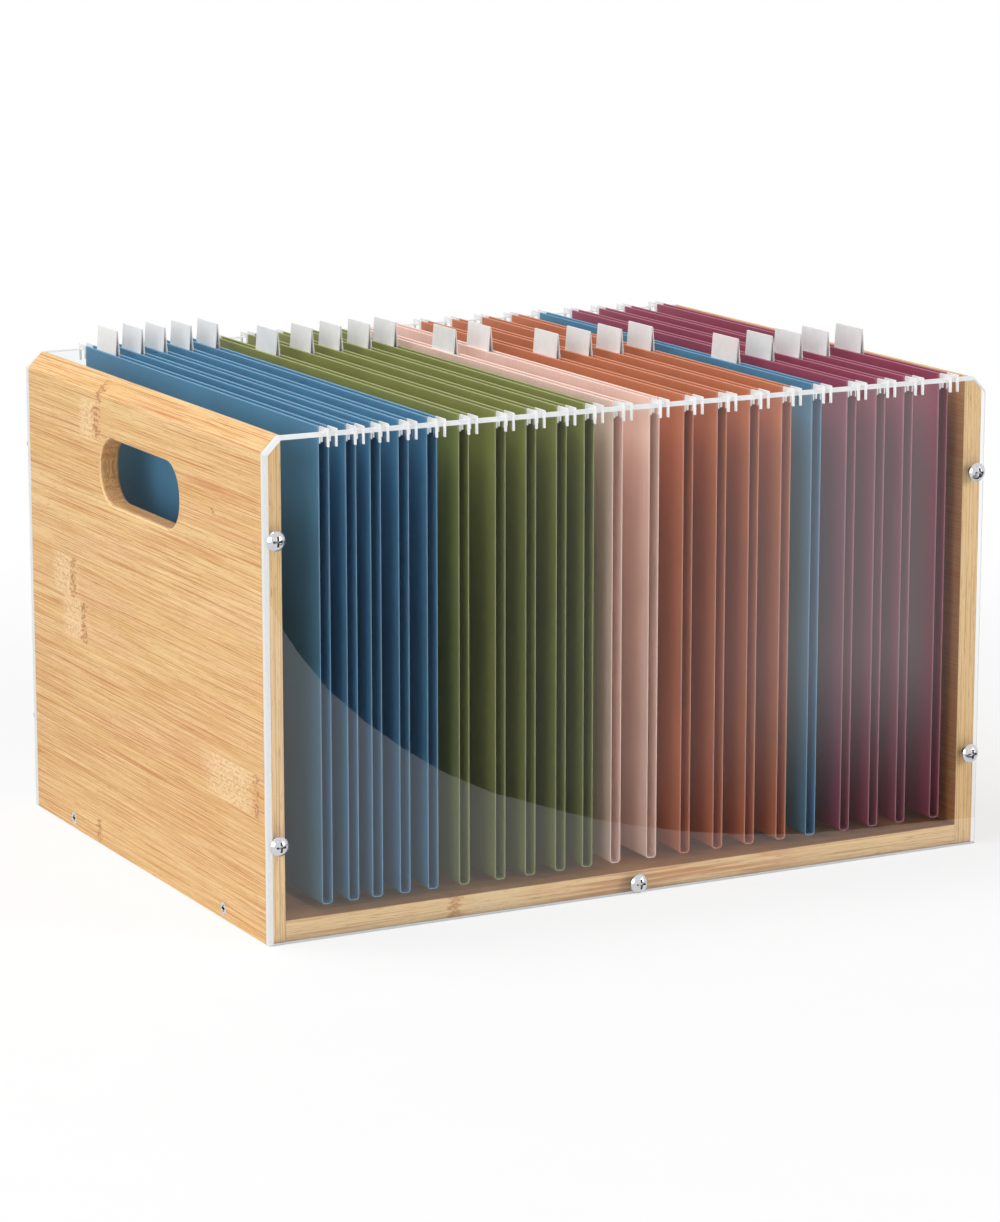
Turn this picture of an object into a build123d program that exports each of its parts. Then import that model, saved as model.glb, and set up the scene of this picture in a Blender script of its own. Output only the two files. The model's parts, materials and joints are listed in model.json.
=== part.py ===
from build123d import *
import os

# Hanging file organizer
# Two bamboo side panels and a bamboo base board stand between a clear front panel
# and a clear rear panel. The top edges of the clear panels are the rails on which
# the folders hang by hooked bars. Millimetres throughout. X runs along the rails
# from left to right, Y from the front to the rear, Z up from the table. The origin
# is the middle of the footprint.

# Box
BOX_LENGTH = 418.0
WOOD_DEPTH = 305.0
BOX_HEIGHT = 255.0
SIDE_THICKNESS = 11.0
BASE_THICKNESS = 11.0
CLEAR_THICKNESS = 5.0
TOP_FLAT = 3.0
CLEAR_OUTER_CHAMFER = 1.75
CLEAR_INNER_CHAMFER = 0.5

# Handle slots
HANDLE_LENGTH = 104.0
HANDLE_HEIGHT = 35.0
HANDLE_RADIUS = 16.5
HANDLE_DROP = 30.0
HANDLE_RIM = 1.5

# Screws through the clear panels
PANEL_SCREW_END = 51.0
PANEL_HEAD_DIAMETER = 10.0
PANEL_HEAD_HEIGHT = 3.2
PANEL_HEAD_RIM = 0.5
PANEL_SHANK_DIAMETER = 4.0
PANEL_SCREW_GRIP = 20.0

# Screws through the side panels into the base board
BASE_SCREW_INSET = 52.5
BASE_HEAD_DIAMETER = 7.0
BASE_SHANK_DIAMETER = 3.5
BASE_SCREW_GRIP = 22.0
BASE_HEAD_SINK = 0.2

# All screws
SHANK_CLEARANCE = 0.1
TIP_CLEARANCE = 1.0
TIP_LENGTH = 3.0
RECESS_SPAN_SHARE = 0.52
RECESS_WIDTH = 1.1
RECESS_DEPTH = 1.6

# Folder sheets
SHEET_THICKNESS = 0.35
MOUTH_WIDTH = 3.0
SHEET_END_GAP = 3.5
FOLDER_FLOOR_GAP = 4.5
HEM_RISE = 2.0
HEM_ROUND = 0.3
FOLD_RADIUS = 1.8

# Hanger bars
BAR_THICKNESS = 0.6
BAR_HEIGHT = 8.0
BAR_CLEARANCE = 0.05
HOOK_START_GAP = 0.3
HOOK_CREST = 2.2
HOOK_PLATE_HEIGHT = 5.0
RAIL_CLEARANCE = 0.3
INNER_PRONG_WIDTH = 1.4
INNER_PRONG_DROP = 5.4
OUTER_PRONG_WIDTH = 2.0
OUTER_PRONG_DROP = 6.8
PRONG_ROUND = 0.45

# Index tabs
TAB_WIDTH = 26.0
TAB_RISE = 13.0
TAB_LEG = 6.0
TAB_WALL = 0.5
TAB_CREST_WIDTH = 0.7
TAB_CLEARANCE = 0.05
TAB_FIRST = 25.5
TAB_PITCH = 20.0

# Folders from left to right: colour, tab place counted from the rear, and the free
# gap before each folder of that run at the box length above
FOLDER_RUNS = [
    ("blue", 0, [21.6, 8.8, 7.5, 9.6, 9.9]),
    ("green", 2, [11.9, 14.7, 11.5, 11.6, 10.0]),
    ("pink", 4, [10.7, 15.5]),
    ("orange", 6, [14.2, 14.0, 13.5, 13.5]),
    ("blue", 9, [12.5]),
    ("burgundy", 9, [15.5, 12.1, 11.4, 15.9]),
]
LAST_GAP = 8.3

# Places worked out from the sizes above
OUTER_X = BOX_LENGTH / 2
INNER_X = OUTER_X - SIDE_THICKNESS
WOOD_Y = WOOD_DEPTH / 2
CLEAR_Y = WOOD_Y + CLEAR_THICKNESS
TOP_BEVEL = SIDE_THICKNESS - TOP_FLAT
HANDLE_Z = BOX_HEIGHT - HANDLE_DROP - HANDLE_HEIGHT / 2
PANEL_SCREW_X = OUTER_X - SIDE_THICKNESS / 2
PANEL_SCREW_Z = [PANEL_SCREW_END, BOX_HEIGHT - PANEL_SCREW_END]
BASE_SCREW_Y = WOOD_Y - BASE_SCREW_INSET
BASE_MID_Z = BASE_THICKNESS / 2
PANEL_SCREW_LENGTH = CLEAR_THICKNESS + PANEL_SCREW_GRIP
BASE_SCREW_LENGTH = SIDE_THICKNESS + BASE_SCREW_GRIP

HEM_THICKNESS = 2 * SHEET_THICKNESS + BAR_THICKNESS + 2 * BAR_CLEARANCE
FOLDER_WIDTH = MOUTH_WIDTH + 2 * HEM_THICKNESS
TUNNEL_WIDTH = BAR_THICKNESS + 2 * BAR_CLEARANCE
TUNNEL_HEIGHT = BAR_HEIGHT + 2 * BAR_CLEARANCE
HEM_HEIGHT = TUNNEL_HEIGHT + 2 * SHEET_THICKNESS
BAR_X = FOLDER_WIDTH / 2 - HEM_THICKNESS / 2
SHEET_Y = WOOD_Y - SHEET_END_GAP
SHEET_TOP = BOX_HEIGHT + HEM_RISE
SHEET_BOTTOM = BASE_THICKNESS + FOLDER_FLOOR_GAP


def on_y_axis(solid, x, z, side, y):
    """A screw drawn along +Y, set at x, y, z with its head to the front (side -1) or rear."""
    turn = 0 if side > 0 else 180
    return Pos(x, side * y, z) * Rot(0, 0, turn) * solid


def shank(radius, length):
    """A plain round shank with a cone at its tip, from y = 0 down to y = -length."""
    outline = Polyline(
        (0, 0),
        (radius, 0),
        (radius, TIP_LENGTH - length),
        (0, -length),
        close=True,
    )
    return revolve(make_face(outline), Axis.Y)


def cross_recess(span, top):
    """The crossed slot cut into a screw head whose highest point is at y = top."""
    arm = Box(span, RECESS_DEPTH, RECESS_WIDTH)
    return Pos(0, top - RECESS_DEPTH / 2, 0) * (arm + Rot(0, 90, 0) * arm)


def round_head_screw():
    """A round-head screw along +Y, seated at y = 0."""
    radius = PANEL_HEAD_DIAMETER / 2
    outline = [
        Line((0, 0), (radius, 0)),
        Line((radius, 0), (radius, PANEL_HEAD_RIM)),
        TangentArc((0, PANEL_HEAD_HEIGHT), (radius, PANEL_HEAD_RIM), tangent=(1, 0)),
        Line((0, PANEL_HEAD_HEIGHT), (0, 0)),
    ]
    head = revolve(make_face(outline), Axis.Y)
    recess = cross_recess(PANEL_HEAD_DIAMETER * RECESS_SPAN_SHARE, PANEL_HEAD_HEIGHT)
    return head - recess + shank(PANEL_SHANK_DIAMETER / 2, PANEL_SCREW_LENGTH)


def countersink(spread):
    """The 90 degree cone under a flush head, wider by spread all round, mouth at y = 0."""
    radius = BASE_HEAD_DIAMETER / 2 + spread
    depth = radius
    return revolve(make_face(Polyline((0, 0), (radius, 0), (0, -depth), close=True)), Axis.Y)


def flush_head_screw():
    """A flush-head screw along +Y, with the flat of its head at y = 0."""
    recess = cross_recess(BASE_HEAD_DIAMETER * RECESS_SPAN_SHARE, 0)
    return countersink(0) + shank(BASE_SHANK_DIAMETER / 2, BASE_SCREW_LENGTH) - recess


def panel_screw_hole():
    """The pilot hole for a round-head screw, along +Y from the screw's seat."""
    radius = PANEL_SHANK_DIAMETER / 2 + SHANK_CLEARANCE
    length = PANEL_SCREW_LENGTH + TIP_CLEARANCE
    return Pos(0, -length / 2, 0) * Rot(90, 0, 0) * Cylinder(radius, length)


def base_screw_hole():
    """The pilot hole and countersink for a flush-head screw, along +Y from the wood's face."""
    radius = BASE_SHANK_DIAMETER / 2 + SHANK_CLEARANCE
    length = BASE_SCREW_LENGTH + TIP_CLEARANCE
    hole = Pos(0, -length / 2, 0) * Rot(90, 0, 0) * Cylinder(radius, length)
    return hole + countersink(SHANK_CLEARANCE + BASE_HEAD_SINK)


def panel_screw_places():
    """X and Z of the five screws of one clear panel."""
    corners = [(side * PANEL_SCREW_X, z) for side in (-1, 1) for z in PANEL_SCREW_Z]
    return corners + [(0, BASE_MID_Z)]


def panel_screws(make, side):
    """One clear panel's screws, or their holes, at the front (side -1) or the rear."""
    return [on_y_axis(make(), x, z, side, CLEAR_Y) for x, z in panel_screw_places()]


def base_screws(make, side, sink):
    """The two screws, or their holes, through the left (side -1) or right side panel."""
    turn = 90 if side < 0 else -90
    x = side * (OUTER_X - sink)
    return [Pos(x, y, BASE_MID_Z) * Rot(0, 0, turn) * make() for y in (-BASE_SCREW_Y, BASE_SCREW_Y)]


def near_slot(edge):
    """True for an edge of the handle slot's rim."""
    middle = edge.center()
    across = abs(middle.Y) <= HANDLE_LENGTH / 2 + HANDLE_RIM
    up = abs(middle.Z - HANDLE_Z) <= HANDLE_HEIGHT / 2 + HANDLE_RIM
    in_face = abs(abs(middle.X) - OUTER_X) < 0.01 or abs(abs(middle.X) - INNER_X) < 0.01
    return across and up and in_face


def side_panel(side):
    """A bamboo side panel with a bevelled outer top edge and a handle slot."""
    outline = Polyline(
        (side * OUTER_X, 0),
        (side * OUTER_X, BOX_HEIGHT - TOP_BEVEL),
        (side * (OUTER_X - TOP_BEVEL), BOX_HEIGHT),
        (side * INNER_X, BOX_HEIGHT),
        (side * INNER_X, 0),
        close=True,
    )
    panel = extrude(Plane.XZ * make_face(outline), amount=WOOD_Y, both=True)
    slot = Plane.YZ * Pos(0, HANDLE_Z) * RectangleRounded(HANDLE_LENGTH, HANDLE_HEIGHT, HANDLE_RADIUS)
    panel -= extrude(slot, amount=side * BOX_LENGTH)
    panel = fillet(panel.edges().filter_by(near_slot), HANDLE_RIM)
    for end in (-1, 1):
        for hole in panel_screws(panel_screw_hole, end):
            panel -= hole
    for hole in base_screws(base_screw_hole, side, 0):
        panel -= hole
    return panel


def base_board():
    """The bamboo base board between the side panels."""
    board = Pos(0, 0, BASE_MID_Z) * Box(2 * INNER_X, WOOD_DEPTH, BASE_THICKNESS)
    for side in (-1, 1):
        for hole in panel_screws(panel_screw_hole, side) + base_screws(base_screw_hole, side, 0):
            board -= hole
    return board


def clear_panel(side):
    """The clear front (side -1) or rear panel, whose top edge is a rail."""
    outline = Polyline(
        (-OUTER_X, 0),
        (-OUTER_X, BOX_HEIGHT - TOP_BEVEL),
        (TOP_BEVEL - OUTER_X, BOX_HEIGHT),
        (OUTER_X - TOP_BEVEL, BOX_HEIGHT),
        (OUTER_X, BOX_HEIGHT - TOP_BEVEL),
        (OUTER_X, 0),
        close=True,
    )
    sheet = extrude(Plane.XZ * make_face(outline), amount=CLEAR_THICKNESS / 2, both=True)
    outer_face = sheet.faces().sort_by(Axis.Y, reverse=side > 0)[0]
    sheet = chamfer(outer_face.edges(), CLEAR_OUTER_CHAMFER)
    inner_face = sheet.faces().sort_by(Axis.Y, reverse=side < 0)[0]
    sheet = chamfer(inner_face.edges(), CLEAR_INNER_CHAMFER)
    sheet = Pos(0, side * (WOOD_Y + CLEAR_THICKNESS / 2), 0) * sheet
    for hole in panel_screws(panel_screw_hole, side):
        sheet -= hole
    return sheet


def folder_sheet():
    """A folder's sheet: two leaves joined by a fold, with a hemmed tunnel along each top."""
    height = SHEET_TOP - SHEET_BOTTOM
    fold = min(FOLD_RADIUS, 0.45 * FOLDER_WIDTH)
    leaf_top = SHEET_TOP - HEM_ROUND
    pocket_width = FOLDER_WIDTH - 2 * SHEET_THICKNESS
    outer = Pos(0, SHEET_BOTTOM + height) * RectangleRounded(FOLDER_WIDTH, 2 * height, fold)
    inner = Pos(0, SHEET_BOTTOM + SHEET_THICKNESS + height) * RectangleRounded(
        pocket_width, 2 * height, fold - SHEET_THICKNESS
    )
    below = Pos(0, leaf_top - height) * Rectangle(2 * FOLDER_WIDTH, 2 * height)
    section = (outer & below) - inner
    for side in (-1, 1):
        hem = RectangleRounded(HEM_THICKNESS, HEM_HEIGHT, HEM_ROUND)
        section += Pos(side * BAR_X, SHEET_TOP - HEM_HEIGHT / 2) * hem
    for side in (-1, 1):
        tunnel = Rectangle(TUNNEL_WIDTH, TUNNEL_HEIGHT)
        section -= Pos(side * BAR_X, SHEET_TOP - HEM_HEIGHT / 2) * tunnel
    return extrude(Plane.XZ * section, amount=SHEET_Y, both=True)


def hanger_bar():
    """A hanger bar with a hook at each end that straddles its rail."""
    bar_top = SHEET_TOP - SHEET_THICKNESS - BAR_CLEARANCE
    bar_bottom = bar_top - BAR_HEIGHT
    hook_start = SHEET_Y + HOOK_START_GAP
    notch_start = WOOD_Y - RAIL_CLEARANCE
    notch_end = CLEAR_Y + RAIL_CLEARANCE
    crest = BOX_HEIGHT + HOOK_CREST
    inner_tip = BOX_HEIGHT - INNER_PRONG_DROP
    outer_tip = BOX_HEIGHT - OUTER_PRONG_DROP
    half = [
        (hook_start, bar_top),
        (hook_start, crest),
        (notch_end + OUTER_PRONG_WIDTH, crest),
        (notch_end + OUTER_PRONG_WIDTH, outer_tip),
        (notch_end, outer_tip),
        (notch_end, BOX_HEIGHT),
        (notch_start, BOX_HEIGHT),
        (notch_start, inner_tip),
        (notch_start - INNER_PRONG_WIDTH, inner_tip),
        (notch_start - INNER_PRONG_WIDTH, crest - HOOK_PLATE_HEIGHT),
        (hook_start, crest - HOOK_PLATE_HEIGHT),
        (hook_start, bar_bottom),
    ]
    mirrored = [(-y, z) for y, z in reversed(half)]
    face = make_face(Polyline(*half, *mirrored, close=True))
    tips = face.vertices().filter_by(lambda v: min(abs(v.Y - inner_tip), abs(v.Y - outer_tip)) < 0.01)
    tip_round = min(PRONG_ROUND, 0.45 * INNER_PRONG_WIDTH, 0.45 * OUTER_PRONG_WIDTH)
    face = fillet(tips, tip_round)
    return extrude(Plane.YZ * face, amount=BAR_THICKNESS / 2, both=True)


def index_tab():
    """A tent-shaped index tab whose legs stand in the folder's mouth."""
    wide = MOUTH_WIDTH / 2 - TAB_CLEARANCE
    narrow = TAB_CREST_WIDTH / 2
    foot = SHEET_TOP - TAB_LEG
    top = SHEET_TOP + TAB_RISE
    closing = (wide - TAB_WALL) / (wide - narrow)
    outer = make_face(
        Polyline(
            (-wide, foot),
            (-wide, SHEET_TOP),
            (-narrow, top),
            (narrow, top),
            (wide, SHEET_TOP),
            (wide, foot),
            close=True,
        )
    )
    inner = make_face(
        Polyline(
            (TAB_WALL - wide, foot),
            (TAB_WALL - wide, SHEET_TOP),
            (0, SHEET_TOP + closing * TAB_RISE),
            (wide - TAB_WALL, SHEET_TOP),
            (wide - TAB_WALL, foot),
            close=True,
        )
    )
    return extrude(Plane.XZ * (outer - inner), amount=TAB_WIDTH / 2, both=True)


def folder_places():
    """Name, middle X and tab Y of each folder, with the gaps scaled to the free length."""
    gaps = [gap for _, _, run in FOLDER_RUNS for gap in run]
    free_length = 2 * INNER_X - len(gaps) * FOLDER_WIDTH
    scale = free_length / (sum(gaps) + LAST_GAP)
    made = {}
    places = []
    x = -INNER_X
    for colour, tab_place, run in FOLDER_RUNS:
        tab_y = SHEET_Y - TAB_FIRST - tab_place * TAB_PITCH
        for gap in run:
            made[colour] = made.get(colour, 0) + 1
            x += gap * scale
            places.append((f"{colour}_folder_{made[colour]}", x + FOLDER_WIDTH / 2, tab_y))
            x += FOLDER_WIDTH
    return places


def save(name, solids):
    """Write one sub-part as a STEP file."""
    whole = solids[0] if len(solids) == 1 else Compound(children=solids)
    export_step(whole, f"parts/{name}.step")


os.makedirs("parts", exist_ok=True)

save("left_side_panel", [side_panel(-1)])
save("right_side_panel", [side_panel(1)])
save("base_board", [base_board()])
save("front_clear_panel", [clear_panel(-1)])
save("rear_clear_panel", [clear_panel(1)])
save("front_panel_screws", panel_screws(round_head_screw, -1))
save("rear_panel_screws", panel_screws(round_head_screw, 1))
save("left_base_screws", base_screws(flush_head_screw, -1, BASE_HEAD_SINK))
save("right_base_screws", base_screws(flush_head_screw, 1, BASE_HEAD_SINK))

sheet = folder_sheet()
bar = hanger_bar()
tab = index_tab()
for name, x, tab_y in folder_places():
    save(f"{name}_sheet", [Pos(x, 0, 0) * sheet])
    save(f"{name}_hangers", [
        Pos(x - BAR_X, 0, 0) * bar,
        Pos(x + BAR_X, 0, 0) * bar,
        Pos(x, tab_y, 0) * tab,
    ])
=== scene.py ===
# %% [markdown]
# # A hanging file organizer, finished in Blender
# The box has two bamboo sides, a bamboo base and two clear panels. Twenty-one hanging
# folders ride on the top edges of the clear panels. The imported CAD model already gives
# every size and place, so this lesson adds what CAD leaves out: softened wooden edges,
# the grain of the bamboo, folded card, the clearness of the panels, and the light.

import json
from math import pi, radians

import bmesh
import bpy
import numpy as np
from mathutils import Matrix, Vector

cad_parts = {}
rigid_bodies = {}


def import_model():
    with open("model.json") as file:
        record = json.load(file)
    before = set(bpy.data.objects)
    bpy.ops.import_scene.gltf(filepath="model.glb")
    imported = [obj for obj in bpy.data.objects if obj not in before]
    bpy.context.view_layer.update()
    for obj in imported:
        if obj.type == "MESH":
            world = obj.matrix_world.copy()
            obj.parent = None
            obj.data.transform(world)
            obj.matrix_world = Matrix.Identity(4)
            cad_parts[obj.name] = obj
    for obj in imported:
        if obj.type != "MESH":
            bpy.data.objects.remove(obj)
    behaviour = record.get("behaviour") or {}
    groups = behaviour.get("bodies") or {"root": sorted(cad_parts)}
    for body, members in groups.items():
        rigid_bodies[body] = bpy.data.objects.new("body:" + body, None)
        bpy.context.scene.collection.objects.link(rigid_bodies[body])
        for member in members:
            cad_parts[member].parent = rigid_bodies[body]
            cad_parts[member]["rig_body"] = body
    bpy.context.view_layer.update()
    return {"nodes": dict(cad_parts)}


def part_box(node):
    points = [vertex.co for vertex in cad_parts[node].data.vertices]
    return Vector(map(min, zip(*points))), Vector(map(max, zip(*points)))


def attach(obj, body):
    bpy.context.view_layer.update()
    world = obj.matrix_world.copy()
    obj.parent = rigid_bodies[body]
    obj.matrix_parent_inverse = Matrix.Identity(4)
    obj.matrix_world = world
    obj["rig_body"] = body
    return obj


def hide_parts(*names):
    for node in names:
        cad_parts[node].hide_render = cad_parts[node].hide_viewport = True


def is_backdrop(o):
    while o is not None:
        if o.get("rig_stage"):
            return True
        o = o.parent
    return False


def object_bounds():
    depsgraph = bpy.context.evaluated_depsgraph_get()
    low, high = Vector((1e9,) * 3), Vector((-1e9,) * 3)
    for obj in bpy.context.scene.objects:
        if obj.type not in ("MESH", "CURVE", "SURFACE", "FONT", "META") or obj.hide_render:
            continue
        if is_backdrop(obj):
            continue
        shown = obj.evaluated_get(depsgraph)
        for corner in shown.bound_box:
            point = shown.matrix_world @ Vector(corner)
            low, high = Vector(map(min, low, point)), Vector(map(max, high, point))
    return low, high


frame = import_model()
nodes = frame["nodes"]
MM = 0.001
body_of = {name: node["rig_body"] for name, node in nodes.items()}

# %% [markdown]
# ## Helpers for shapes
# Most pieces here are a profile carried along a path, so their points form a grid: one
# row for each place on the profile, one column for each place on the path. Working out
# whole grids with numpy is quick and keeps the formulas visible. A grid that closes on
# itself both ways is a ring, and it needs no caps.

# %% From a grid of points to a closed mesh
def grid_faces(rows, columns, rows_close):
    """Quads between neighbours of a grid whose columns close on themselves.
    Point number = row * columns + column."""
    i = np.arange(rows if rows_close else rows - 1)[:, None]
    j = np.arange(columns)[None, :]
    after = ((i + 1) % rows) * columns
    beside = (j + 1) % columns
    quads = np.broadcast_arrays(i * columns + j, i * columns + beside, after + beside, after + j)
    return np.stack(quads, axis=-1).reshape(-1, 4).tolist()


CRISP = 35.0


def make_piece(name, points, faces, sharp=CRISP):
    """A mesh object from points in millimetres. All faces are turned outwards and shaded
    smooth, and edges that turn by more than sharp degrees stay crisp."""
    mesh = bpy.data.meshes.new(name)
    mesh.from_pydata((points.reshape(-1, 3) * MM).tolist(), [], faces)
    shell = bmesh.new()
    shell.from_mesh(mesh)
    bmesh.ops.recalc_face_normals(shell, faces=shell.faces)
    shell.to_mesh(mesh)
    shell.free()
    mesh.shade_smooth()
    mesh.set_sharp_from_angle(angle=radians(sharp))
    piece = bpy.data.objects.new(name, mesh)
    bpy.context.scene.collection.objects.link(piece)
    return piece


def stand_for(piece, node_name, material):
    """The piece takes a CAD node's place, rides on its body and wears one material."""
    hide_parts(node_name)
    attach(piece, body_of[node_name])
    piece.data.materials.append(material)
    print(piece.name, "stands for", node_name, "with", len(piece.data.polygons), "faces")

# %% [markdown]
# ## The shape of a side panel
# A side panel is one board with a bevelled top and a handle slot. On the real board the
# corners are broken with sandpaper and the slot's rims are rounded with a router. The
# board can be seen as a ring round its slot: rows go from the slot out to the border,
# across the thickness, back to the slot on the other face, and through the slot's wall.
# A row close to each rounding holds the flat faces flat. Cutting the slot out of a block
# would leave long thin faces that shade badly, so the ring is the better way. The board
# stops 0.1 mm short of each clear panel, because two faces in one place would flicker.

# %% Sizes of a side panel, in millimetres
panel_low, panel_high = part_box("right_side_panel")
SIDE_FACE = round(panel_high.x / MM, 2)
SIDE_THICK = round((panel_high.x - panel_low.x) / MM, 2)
END_SET_BACK = 0.1
SIDE_END = round(panel_high.y / MM, 2) - END_SET_BACK
SIDE_TOP = round(panel_high.z / MM, 2)
BEVEL = 8.0
TOP_EASE, FACE_EASE = 0.8, 0.25
BROKEN_EDGE = 0.6
SLOT_LENGTH, SLOT_HEIGHT, SLOT_DROP = 104.0, 35.0, 30.0
SLOT_ROUND, SLOT_RIM = 16.5, 1.5
SLOT_FLAT_Y = SLOT_LENGTH / 2 - SLOT_ROUND
SLOT_FLAT_Z = SLOT_HEIGHT / 2 - SLOT_ROUND
SLOT_Z = SIDE_TOP - SLOT_DROP - SLOT_HEIGHT / 2
print("side panel in mm:", SIDE_THICK, "thick and", SIDE_TOP, "high")

# %% Two rings of points
QUARTER_POINTS = 9
QUARTER_Y = np.array([1, -1, -1, 1])
QUARTER_Z = np.array([1, 1, -1, -1])


def rows_of_points(depth, y, z):
    """One row of points for each depth. The depth is their first coordinate."""
    return np.stack([np.broadcast_to(depth[:, None], y.shape), y, z], axis=-1)


def slot_ring(depth, grow):
    """Points round the slot, nine to a quarter: each quarter is an arc about its own centre,
    with the slot's radius plus grow. There is one row for each depth."""
    turn = np.radians(np.linspace(0.0, 90.0, QUARTER_POINTS) + 90.0 * np.arange(4)[:, None]).ravel()
    reach = SLOT_ROUND + grow[:, None]
    y = np.repeat(QUARTER_Y, QUARTER_POINTS) * SLOT_FLAT_Y + reach * np.cos(turn)
    z = np.repeat(QUARTER_Z, QUARTER_POINTS) * SLOT_FLAT_Z + reach * np.sin(turn) + SLOT_Z
    return rows_of_points(depth, y, z)


def top_line(depth):
    """Height of the board at each depth: the 45 degree bevel, eased into the flat top by a
    parabola as long as two TOP_EASE, and into the face by a small square law."""
    slope = SIDE_TOP - BEVEL + depth - FACE_EASE * np.clip(1.0 - depth / BROKEN_EDGE, 0.0, 1.0) ** 2
    from_flat = np.clip(BEVEL + TOP_EASE - depth, 0.0, 2.0 * TOP_EASE)
    eased = SIDE_TOP - from_flat**2 / (4.0 * TOP_EASE)
    return np.where(depth < BEVEL - TOP_EASE, slope, eased)


def border_ring(depth, inset):
    """Points of the border that face the slot's points. Within a quarter the border runs
    from the side to the corner and on to the top or bottom."""
    share = np.tile(np.linspace(0.0, 1.0, QUARTER_POINTS), 4)
    quarter = np.repeat(np.arange(4), QUARTER_POINTS)
    along = np.where(quarter % 2 == 0, share, 1.0 - share)
    upper = quarter < 2
    rise = np.clip(along * 2.0, 0.0, 1.0)
    run = np.clip(along * 2.0 - 1.0, 0.0, 1.0)
    past_face = np.where(depth < BEVEL / 2, np.maximum(inset - BROKEN_EDGE, 0.0), inset)
    high = top_line(depth) - past_face
    middle = SLOT_Z + np.where(upper, SLOT_FLAT_Z, -SLOT_FLAT_Z)
    edge = np.where(upper[None, :], high[:, None], inset[:, None])
    z = middle + (edge - middle) * rise
    y = QUARTER_Y[quarter] * ((SIDE_END - inset)[:, None] * (1.0 - run) + SLOT_FLAT_Y * run)
    return rows_of_points(depth, y, z)


# %% Rows from the slot to the border and back
BORDER_HOLD, SLOT_HOLD = 1.3, 2.1
BEVEL_ROWS = [1.1, 3.0, 5.0, 6.9, 7.2, 7.6, 8.0, 8.4, 8.8, 9.1, 9.9]


def quarter_round(radius, steps):
    """Inset and depth along a rounded edge: radius times one minus the sine or cosine."""
    turn = np.linspace(0.0, pi / 2, steps)
    return radius * (1.0 - np.sin(turn)), radius * (1.0 - np.cos(turn))


def side_board(name, side):
    """A side panel as a closed ring of rows. X is the outer face's place less the depth."""
    inset, depth = quarter_round(BROKEN_EDGE, 5)
    border_depth = np.concatenate([[0.0], depth, BEVEL_ROWS, SIDE_THICK - depth[::-1], [SIDE_THICK]])
    no_inset = np.zeros(len(BEVEL_ROWS))
    border_inset = np.concatenate([[BORDER_HOLD], inset, no_inset, inset[::-1], [BORDER_HOLD]])
    grow, rim_depth = quarter_round(SLOT_RIM, 6)
    wall_depth = [SIDE_THICK - SLOT_HOLD, SIDE_THICK / 2, SLOT_HOLD]
    slot_depth = np.concatenate([[SIDE_THICK], SIDE_THICK - rim_depth, wall_depth, rim_depth[::-1], [0.0]])
    slot_grow = np.concatenate([[SLOT_HOLD], grow, np.zeros(len(wall_depth)), grow[::-1], [SLOT_HOLD]])
    points = np.concatenate([border_ring(border_depth, border_inset), slot_ring(slot_depth, slot_grow)])
    points[..., 0] = side * (SIDE_FACE - points[..., 0])
    return make_piece(name, points, grid_faces(points.shape[0], points.shape[1], True))


# %% [markdown]
# The flush screws near the foot of each side panel sit in cone-shaped countersinks. They
# are the only holes that the ring doesn't have, so they are cut out of it with cones.

# %% Countersinks
SINK_RADIUS, SINK_OVERREACH, SINK_POINTS = 3.8, 1.0, 48
BASE_SCREW_Y, BASE_SCREW_Z = 100.0, 5.5


def cone(side, y):
    """A cutter whose mouth on the panel's face has the countersink's radius and whose walls
    stand at 45 degrees: a ring of points just outside the face and a tip inside the wood."""
    turn = np.linspace(0.0, 2.0 * pi, SINK_POINTS, endpoint=False)
    reach = SINK_RADIUS + SINK_OVERREACH
    rim_x = np.full(SINK_POINTS, side * (SIDE_FACE + SINK_OVERREACH))
    rim = np.stack([rim_x, y + reach * np.cos(turn), BASE_SCREW_Z + reach * np.sin(turn)], axis=-1)
    tip = np.array([[side * (SIDE_FACE - SINK_RADIUS), y, BASE_SCREW_Z]])
    ring = np.arange(SINK_POINTS)
    walls = np.stack([ring, np.roll(ring, -1), np.full(SINK_POINTS, SINK_POINTS)], axis=-1).tolist()
    return make_piece("cone", np.concatenate([rim, tip]), walls + [ring.tolist()])


def cut(piece, cutter):
    """Take the cutter out of the piece for good, and drop the cutter."""
    change = piece.modifiers.new("cut", "BOOLEAN")
    change.operation = "DIFFERENCE"
    change.object = cutter
    solid = piece.evaluated_get(bpy.context.evaluated_depsgraph_get())
    carved = bpy.data.meshes.new_from_object(solid)
    piece.modifiers.clear()
    piece.data = carved
    piece.data.set_sharp_from_angle(angle=radians(CRISP))
    bpy.data.objects.remove(cutter)


side_boards = {}
for name, side in (("left_bamboo_side", -1), ("right_bamboo_side", 1)):
    side_boards[name] = side_board(name, side)
    for y in (-BASE_SCREW_Y, BASE_SCREW_Y):
        cut(side_boards[name], cone(side, y))
    print(name, "has", len(side_boards[name].data.vertices), "points")

# %% [markdown]
# ## The base board
# The base is a plain board between the sides. Rows go round the rectangle from the middle
# of its lower face out to the edge, up and back over the top, and a quarter round softens
# the long edges, as on the side panels.

# %% A board with softened edges
BASE_THICK = round(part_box("base_board")[1].z / MM, 2)
BASE_EDGE, BASE_HOLD = 0.5, 1.0


def loft(name, loops):
    """A closed skin over loops of points, one row each, with a flat face on the first and last."""
    rows, columns = loops.shape[:2]
    first = list(range(columns))
    last = [(rows - 1) * columns + k for k in range(columns)]
    return make_piece(name, loops, grid_faces(rows, columns, False) + [first, last])


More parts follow.
